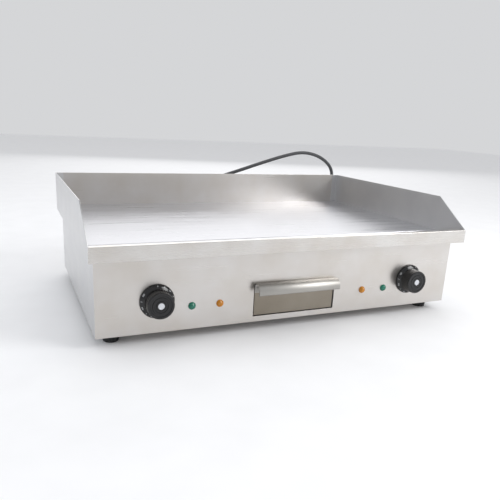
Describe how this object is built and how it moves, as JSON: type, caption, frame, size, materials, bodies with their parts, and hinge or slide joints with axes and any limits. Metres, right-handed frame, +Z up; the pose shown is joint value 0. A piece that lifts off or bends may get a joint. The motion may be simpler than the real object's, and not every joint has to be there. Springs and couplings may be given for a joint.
{
  "type": "flat top griddle",
  "caption": "Counter-top electric griddle: flat steel plate with splash guards and front grease gutter over a box casing with turn knobs, pilot lamps and a pull-out grease drawer.",
  "frame": {"origin": "on the counter under the middle of the machine, cord left out", "axes": "+X to the right seen from the front, +Y to the back, +Z up; the knobs and drawer face -Y"},
  "size_m": [0.7775, 0.6185, 0.2856],
  "materials": {
    "brushed_stainless": "brushed stainless steel sheet",
    "griddle_steel": "ground and polished steel plate",
    "galvanised_sheet": "galvanised sheet",
    "zinc_fixings": "zinc plated fixings",
    "phenolic_black": "moulded black phenolic",
    "cap_aluminium": "turned aluminium disc",
    "lens_green": "green translucent lens",
    "lens_amber": "amber translucent lens",
    "foot_rubber": "moulded black rubber",
    "cord_rubber": "black rubber sheath",
    "nylon": "black nylon",
    "brass": "plain brass",
    "ceramic": "steatite",
    "heater_sheath": "dark annealed heater tube",
    "copper": "plain copper",
    "thermostat_case": "moulded cream case",
    "wire_sleeve": "glass fibre sleeve",
    "mineral_wool": "mineral wool"
  },
  "bodies": {
    "chassis": {"base_panel": "brushed_stainless", "bonding_stud": "zinc_fixings", "cable_gland": "nylon", "clamp_nuts": "zinc_fixings", "cord_boot": "cord_rubber", "cord_coil": "cord_rubber", "drain_chute": "brushed_stainless", "drawer_rail_left": "galvanised_sheet", "drawer_rail_right": "galvanised_sheet", "foot_back_left": "foot_rubber", "foot_back_right": "foot_rubber", "foot_front_left": "foot_rubber", "foot_front_right": "foot_rubber", "foot_nuts": "zinc_fixings", "foot_screws": "zinc_fixings", "front_panel": "brushed_stainless", "front_trim": "brushed_stainless", "gland_locknut": "nylon", "grease_gutter": "brushed_stainless", "griddle_plate": "griddle_steel", "heat_shield": "galvanised_sheet", "heater_clamps": "galvanised_sheet", "heater_left": "heater_sheath", "heater_right": "heater_sheath", "insulation": "mineral_wool", "lamp_bodies": "nylon", "lamp_clips": "galvanised_sheet", "lamp_lens_amber_left": "lens_amber", "lamp_lens_amber_right": "lens_amber", "lamp_lens_green_left": "lens_green", "lamp_lens_green_right": "lens_green", "plate_studs": "zinc_fixings", "plug": "cord_rubber", "plug_pins": "brass", "power_cord": "cord_rubber", "rear_panel": "brushed_stainless", "rear_screws": "zinc_fixings", "sensing_bulb_left": "copper", "sensing_bulb_right": "copper", "side_panel_left": "brushed_stainless", "side_panel_right": "brushed_stainless", "splash_back": "brushed_stainless", "splash_left": "brushed_stainless", "splash_right": "brushed_stainless", "terminal_block": "ceramic", "terminal_screws": "brass", "thermostat_left": "thermostat_case", "thermostat_right": "thermostat_case", "thermostat_screws": "zinc_fixings", "wiring_left": "wire_sleeve", "wiring_right": "wire_sleeve"},
    "drawer": {"drawer_front": "brushed_stainless", "drawer_tray": "brushed_stainless", "drawer_handle": "brushed_stainless"},
    "left_control": {"knob_left": "phenolic_black", "knob_cap_left": "cap_aluminium", "thermostat_shaft_left": "zinc_fixings"},
    "right_control": {"knob_right": "phenolic_black", "knob_cap_right": "cap_aluminium", "thermostat_shaft_right": "zinc_fixings"}
  },
  "joints": [
    {"name": "drawer_slide", "type": "slide", "parent": "chassis", "child": "drawer", "axis": [0, -1, 0], "range_m": [0, 0.26]},
    {"name": "left_knob_turn", "type": "hinge", "parent": "chassis", "child": "left_control", "pos_m": [-0.256, -0.2135, 0.074], "axis": [0, 1, 0], "range_deg": [0, 300]},
    {"name": "right_knob_turn", "type": "hinge", "parent": "chassis", "child": "right_control", "pos_m": [0.256, -0.2135, 0.074], "axis": [0, 1, 0], "range_deg": [0, 300]}
  ]
}
